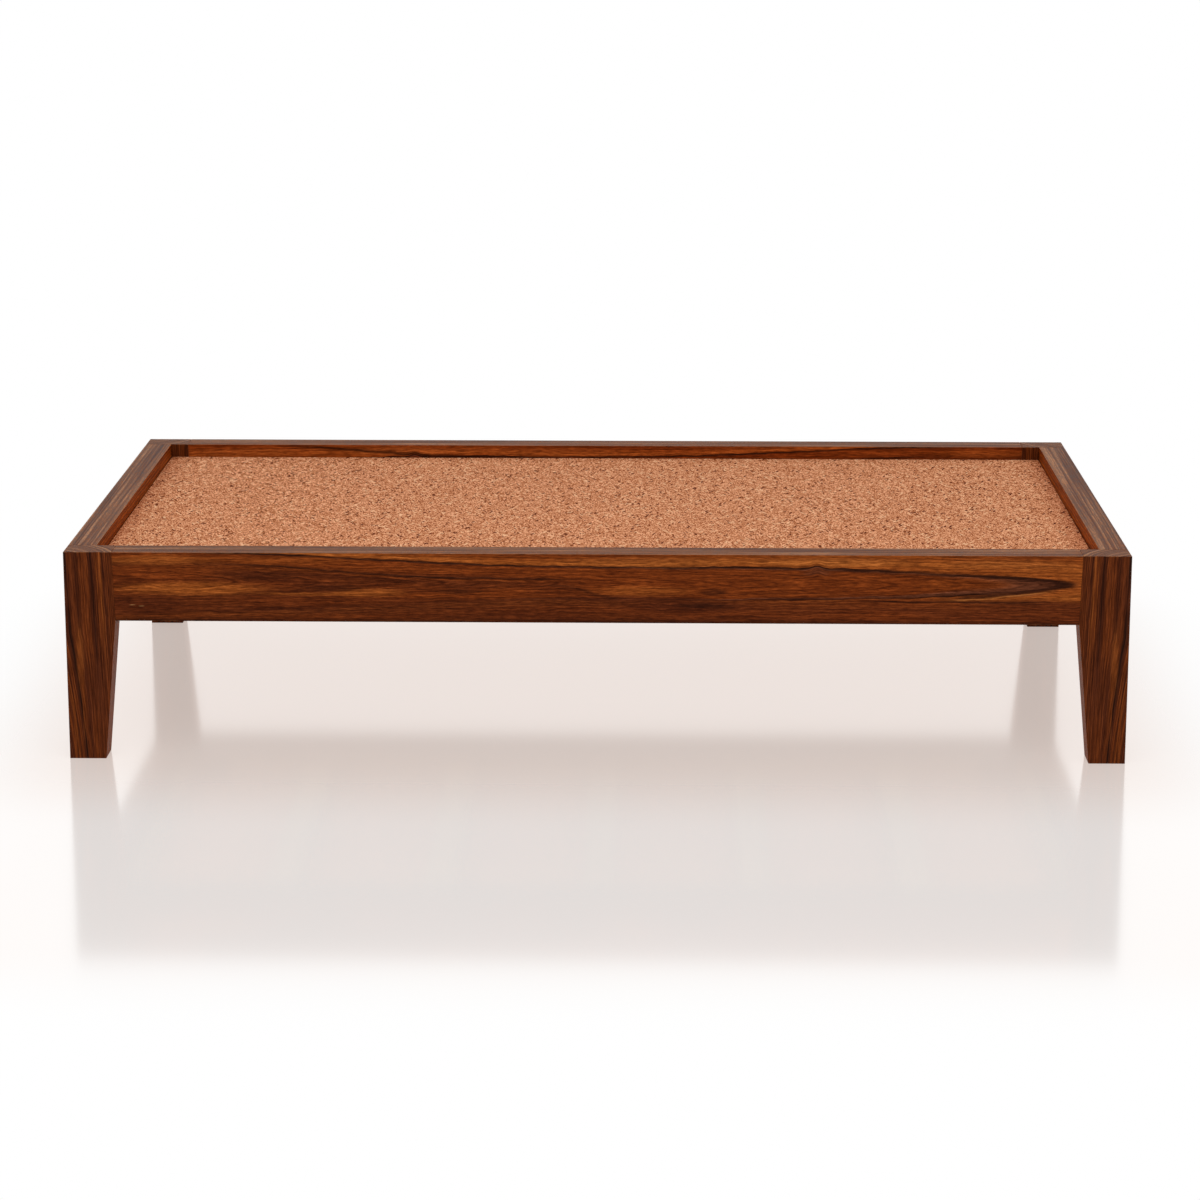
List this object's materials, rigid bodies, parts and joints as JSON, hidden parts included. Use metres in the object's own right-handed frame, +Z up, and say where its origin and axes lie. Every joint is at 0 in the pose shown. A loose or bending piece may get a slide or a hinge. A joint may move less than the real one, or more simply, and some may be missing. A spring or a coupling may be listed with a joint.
{
  "type": "wooden single bed",
  "caption": "Low wooden single bed with no headboard: board legs that taper from a knee, deep rails flush with the leg tops, and a recessed chipboard deck for a mattress.",
  "frame": {"origin": "on the floor, under the middle of the bed", "axes": "+X along the bed's length to the right as seen from the front, +Y from the front to the rear side, +Z up"},
  "size_m": [2.03, 1.035, 0.41],
  "materials": {
    "rosewood": "sheesham with a satin honey-walnut lacquer",
    "chipboard": "bare sanded chipboard",
    "batten_wood": "planed softwood, unfinished",
    "beech": "turned beech, unfinished",
    "zinc_steel": "zinc plated"
  },
  "bodies": {
    "root": {"batten_screw_1_front": "zinc_steel", "batten_screw_1_rear": "zinc_steel", "batten_screw_2_front": "zinc_steel", "batten_screw_2_rear": "zinc_steel", "batten_screw_3_front": "zinc_steel", "batten_screw_3_rear": "zinc_steel", "batten_screw_4_front": "zinc_steel", "batten_screw_4_rear": "zinc_steel", "batten_screw_5_front": "zinc_steel", "batten_screw_5_rear": "zinc_steel", "cross_batten_1": "batten_wood", "cross_batten_2": "batten_wood", "cross_batten_3": "batten_wood", "cross_batten_4": "batten_wood", "cross_batten_5": "batten_wood", "deck_panel": "chipboard", "end_ledger_left": "batten_wood", "end_ledger_right": "batten_wood", "end_ledger_screw_left_1": "zinc_steel", "end_ledger_screw_left_2": "zinc_steel", "end_ledger_screw_right_1": "zinc_steel", "end_ledger_screw_right_2": "zinc_steel", "end_rail_left": "rosewood", "end_rail_right": "rosewood", "half_moon_washer_front_left": "zinc_steel", "half_moon_washer_front_right": "zinc_steel", "half_moon_washer_rear_left": "zinc_steel", "half_moon_washer_rear_right": "zinc_steel", "leg_front_left": "rosewood", "leg_front_right": "rosewood", "leg_rear_left": "rosewood", "leg_rear_right": "rosewood", "rail_bolt_front_left": "zinc_steel", "rail_bolt_front_right": "zinc_steel", "rail_bolt_rear_left": "zinc_steel", "rail_bolt_rear_right": "zinc_steel", "rail_dowel_front_left_lower": "beech", "rail_dowel_front_left_upper": "beech", "rail_dowel_front_right_lower": "beech", "rail_dowel_front_right_upper": "beech", "rail_dowel_rear_left_lower": "beech", "rail_dowel_rear_left_upper": "beech", "rail_dowel_rear_right_lower": "beech", "rail_dowel_rear_right_upper": "beech", "rail_nut_front_left": "zinc_steel", "rail_nut_front_right": "zinc_steel", "rail_nut_rear_left": "zinc_steel", "rail_nut_rear_right": "zinc_steel", "side_ledger_front": "batten_wood", "side_ledger_rear": "batten_wood", "side_ledger_screw_front_1": "zinc_steel", "side_ledger_screw_front_2": "zinc_steel", "side_ledger_screw_front_3": "zinc_steel", "side_ledger_screw_front_4": "zinc_steel", "side_ledger_screw_rear_1": "zinc_steel", "side_ledger_screw_rear_2": "zinc_steel", "side_ledger_screw_rear_3": "zinc_steel", "side_ledger_screw_rear_4": "zinc_steel", "side_rail_front": "rosewood", "side_rail_rear": "rosewood"}
  },
  "joints": []
}
